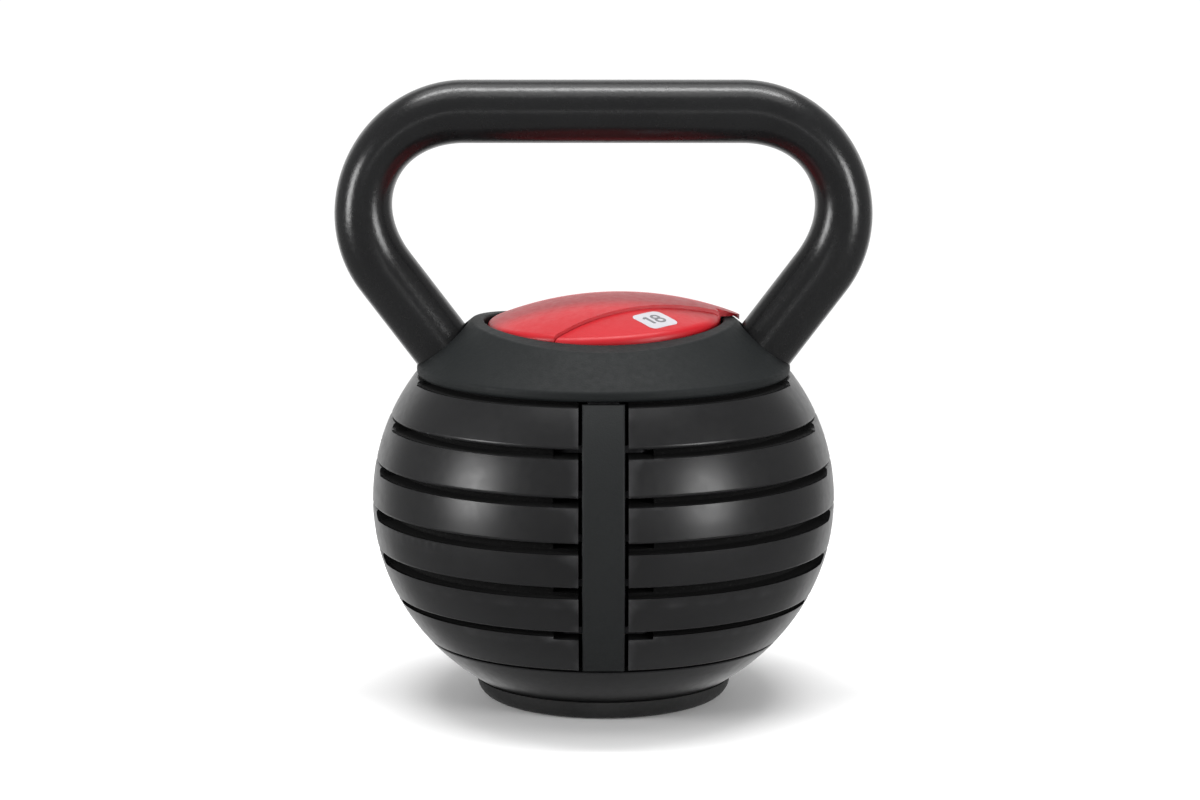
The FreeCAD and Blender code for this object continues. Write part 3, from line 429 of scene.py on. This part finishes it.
def handle():
    """The grip tube: one sweep from leg to leg, a little flattened in its two bends."""
    right = right_side_stations()
    left = [(-x, z, -tilt, squeeze) for x, z, tilt, squeeze in reversed(right[1:])]
    shape = bmesh.new()
    segments = 72
    rings = []
    for x, z, tilt, squeeze in left + right:
        in_plane = TUBE_RADIUS * (1.0 - BEND_SQUEEZE * squeeze)
        across = TUBE_RADIUS * (1.0 + BEND_SPREAD * squeeze)
        ring = []
        for index in range(segments):
            turn = 2.0 * math.pi * index / segments
            out = in_plane * math.cos(turn)
            ring.append(shape.verts.new((x + out * math.sin(tilt), across * math.sin(turn),
                                         z + out * math.cos(tilt))))
        rings.append(ring)
    for first, second in zip(rings, rings[1:]):
        for index in range(segments):
            after = (index + 1) % segments
            shape.faces.new((first[index], first[after], second[after], second[index]))
    everything = list(shape.verts) + list(shape.edges) + list(shape.faces)
    cut = bmesh.ops.bisect_plane(shape, geom=everything, plane_co=(0.0, 0.0, TUBE_CUT_Z),
                                 plane_no=(0.0, 0.0, 1.0), clear_inner=True)
    rims = [item for item in cut["geom_cut"] if isinstance(item, bmesh.types.BMEdge)]
    bmesh.ops.holes_fill(shape, edges=rims, sides=0)
    piece = new_piece("handle_tube_shaped", shape, "frame", POWDER)
    # only the cut ends of the legs have more than four corners
    for face in piece.data.polygons:
        if len(face.vertices) > 4:
            face.use_smooth = False
    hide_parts("handle_tube")


# ---------------------------------------------------------------- number on the label
def label_point(across, up, lift):
    """Point on the label, in mm from its middle along and up the number, raised by lift."""
    x = LABEL_AT[0] + across * math.cos(LABEL_TURN) - up * math.sin(LABEL_TURN)
    y = LABEL_AT[1] + across * math.sin(LABEL_TURN) + up * math.cos(LABEL_TURN)
    flat = (x - CAP_DOME_X) ** 2 + (y - CAP_DOME_Y) ** 2
    dome = CAP_TOP_Z - CAP_DOME_RADIUS + math.sqrt((CAP_DOME_RADIUS - LABEL_DROP) ** 2 - flat)
    return Vector((x, y, dome + lift))


def stroke(shape, points, width, closed):
    """Flat printed line along points on the label, slightly raised."""
    count = len(points)
    sections = []
    for index, (across, up) in enumerate(points):
        if closed:
            before = points[index - 1]
            after = points[(index + 1) % count]
        else:
            before = points[max(index - 1, 0)]
            after = points[min(index + 1, count - 1)]
        along = Vector((after[0] - before[0], after[1] - before[1])).normalized()
        side = Vector((-along.y, along.x)) * width / 2
        corners = []
        for sign, lift in ((1, DIGIT_THICKNESS), (-1, DIGIT_THICKNESS),
                           (-1, -DIGIT_THICKNESS), (1, -DIGIT_THICKNESS)):
            corners.append(shape.verts.new(
                label_point(across + sign * side.x, up + sign * side.y, lift)))
        sections.append(corners)
    pairs = list(zip(sections, sections[1:]))
    if closed:
        pairs.append((sections[-1], sections[0]))
    for first, second in pairs:
        for index in range(4):
            after = (index + 1) % 4
            shape.faces.new((first[index], first[after], second[after], second[index]))
    if not closed:
        shape.faces.new(sections[0])
        shape.faces.new(reversed(sections[-1]))


def oval(middle_x, middle_y, half_width, half_height):
    """Points round an upright oval on the label."""
    turns = [2.0 * math.pi * index / TURN_STEPS for index in range(TURN_STEPS)]
    return [(middle_x + half_width * math.cos(t), middle_y + half_height * math.sin(t))
            for t in turns]


def label_number():
    """The digits 1 and 8, printed grey on the white label."""
    shape = bmesh.new()
    stroke(shape, [(STEM_X, -3.4), (STEM_X, 0.0), (STEM_X, 3.4)], STEM_WIDTH, False)
    stroke(shape, [(STEM_X - 1.5, 2.1), (STEM_X - 0.2, 3.2)], FLAG_WIDTH, False)
    stroke(shape, oval(EIGHT_X, 1.75, 1.65, 1.6), EIGHT_WIDTH, True)
    stroke(shape, oval(EIGHT_X, -1.65, 1.95, 1.75), EIGHT_WIDTH, True)
    piece = new_piece("label_number", shape, "button", INK)
    for face in piece.data.polygons:
        face.use_smooth = False


# ---------------------------------------------------------------- button spring
def button_coil():
    """Compression coil of the button, drawn at its free height."""
    shape = bmesh.new()
    steps = TURN_STEPS * SPRING_TURNS
    sides = 12
    rise = SPRING_FREE_HEIGHT - 2 * SPRING_WIRE
    rings = []
    for step in range(steps + 1):
        turn = 2.0 * math.pi * SPRING_TURNS * step / steps
        middle_z = SPRING_SEAT_Z + SPRING_WIRE + rise * step / steps
        ring = []
        for index in range(sides):
            around = 2.0 * math.pi * index / sides
            reach = SPRING_RADIUS + SPRING_WIRE * math.cos(around)
            ring.append(shape.verts.new((SPRING_AT[0] + reach * math.cos(turn),
                                         SPRING_AT[1] + reach * math.sin(turn),
                                         middle_z + SPRING_WIRE * math.sin(around))))
        rings.append(ring)
    for first, second in zip(rings, rings[1:]):
        for index in range(sides):
            after = (index + 1) % sides
            shape.faces.new((first[index], first[after], second[after], second[index]))
    shape.faces.new(rings[0])
    shape.faces.new(reversed(rings[-1]))
    piece = new_piece("button_coil", shape, "knob", ZINC)
    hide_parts("button_spring")
    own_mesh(piece)


handle()
label_number()
button_coil()


# ---------------------------------------------------------------- floor, light and camera
def area_light(name, place, target, width, height, energy):
    """Rectangular lamp at place, turned to face target."""
    data = bpy.data.lights.new(name, "AREA")
    data.shape = "RECTANGLE"
    data.size = width
    data.size_y = height
    data.energy = energy
    lamp = bpy.data.objects.new(name, data)
    bpy.context.scene.collection.objects.link(lamp)
    lamp.location = place
    direction = Vector(target) - Vector(place)
    lamp.rotation_euler = direction.to_track_quat("-Z", "Y").to_euler()


def world_light():
    """Dim studio with a brighter backdrop behind; the camera sees plain white everywhere."""
    world = bpy.data.worlds.new("studio")
    bpy.context.scene.world = world
    world.use_nodes = True
    tree = world.node_tree
    background = tree.nodes["Background"]
    coords = tree.nodes.new("ShaderNodeTexCoord")
    split = tree.nodes.new("ShaderNodeSeparateXYZ")
    tree.links.new(coords.outputs["Generated"], split.inputs["Vector"])
    side = tree.nodes.new("ShaderNodeMapRange")
    side.interpolation_type = "SMOOTHSTEP"
    side.inputs["From Min"].default_value = BACKDROP_STARTS
    side.inputs["From Max"].default_value = BACKDROP_FULL
    side.inputs["To Min"].default_value = STUDIO_GLOW
    side.inputs["To Max"].default_value = BACKDROP_GLOW
    tree.links.new(split.outputs["Y"], side.inputs["Value"])
    path = tree.nodes.new("ShaderNodeLightPath")
    seen = tree.nodes.new("ShaderNodeMix")
    seen.data_type = "FLOAT"
    tree.links.new(path.outputs["Is Camera Ray"], seen.inputs["Factor"])
    tree.links.new(side.outputs["Result"], seen.inputs["A"])
    seen.inputs["B"].default_value = CAMERA_SEES
    background.inputs["Color"].default_value = (1.0, 1.0, 1.0, 1.0)
    tree.links.new(seen.outputs["Result"], background.inputs["Strength"])


def floor_disc():
    """Round sheet of white paper under the object."""
    mesh = bpy.data.meshes.new("floor")
    shape = bmesh.new()
    bmesh.ops.create_circle(shape, cap_ends=True, segments=128, radius=FLOOR_RADIUS)
    shape.to_mesh(mesh)
    shape.free()
    floor = bpy.data.objects.new("floor", mesh)
    bpy.context.scene.collection.objects.link(floor)
    floor.location.y = FLOOR_MIDDLE_Y
    # the paper lights the object, but the gloss doesn't mirror it
    floor.visible_glossy = False
    m = Nodes("floor_paper", (0.9, 0.9, 0.9), 0.8)
    m.colour(m.mix(m.noise(3.0, 2.0), (0.89, 0.89, 0.89), (0.91, 0.91, 0.91)))
    mesh.materials.append(m.mat)


def studio():
    """Everything that is only there for the render, apart from the camera."""
    floor_disc()
    world_light()
    for light in LIGHTS:
        area_light(*light)


def camera():
    """Eye above the kettlebell, looking along +Y and a little down."""
    data = bpy.data.cameras.new("camera")
    data.sensor_width = 36.0
    data.lens = CAMERA_LENS
    data.clip_start = 0.05
    data.clip_end = 50.0
    eye = bpy.data.objects.new("camera", data)
    bpy.context.scene.collection.objects.link(eye)
    eye.location = CAMERA_AT
    eye.rotation_euler = (math.radians(90.0 - CAMERA_PITCH), 0.0, 0.0)
    data.shift_x = -OFF_CENTRE / FRAME_WIDTH
    bpy.context.scene.camera = eye


studio()
camera()
bpy.context.scene.view_settings.view_transform = "Standard"
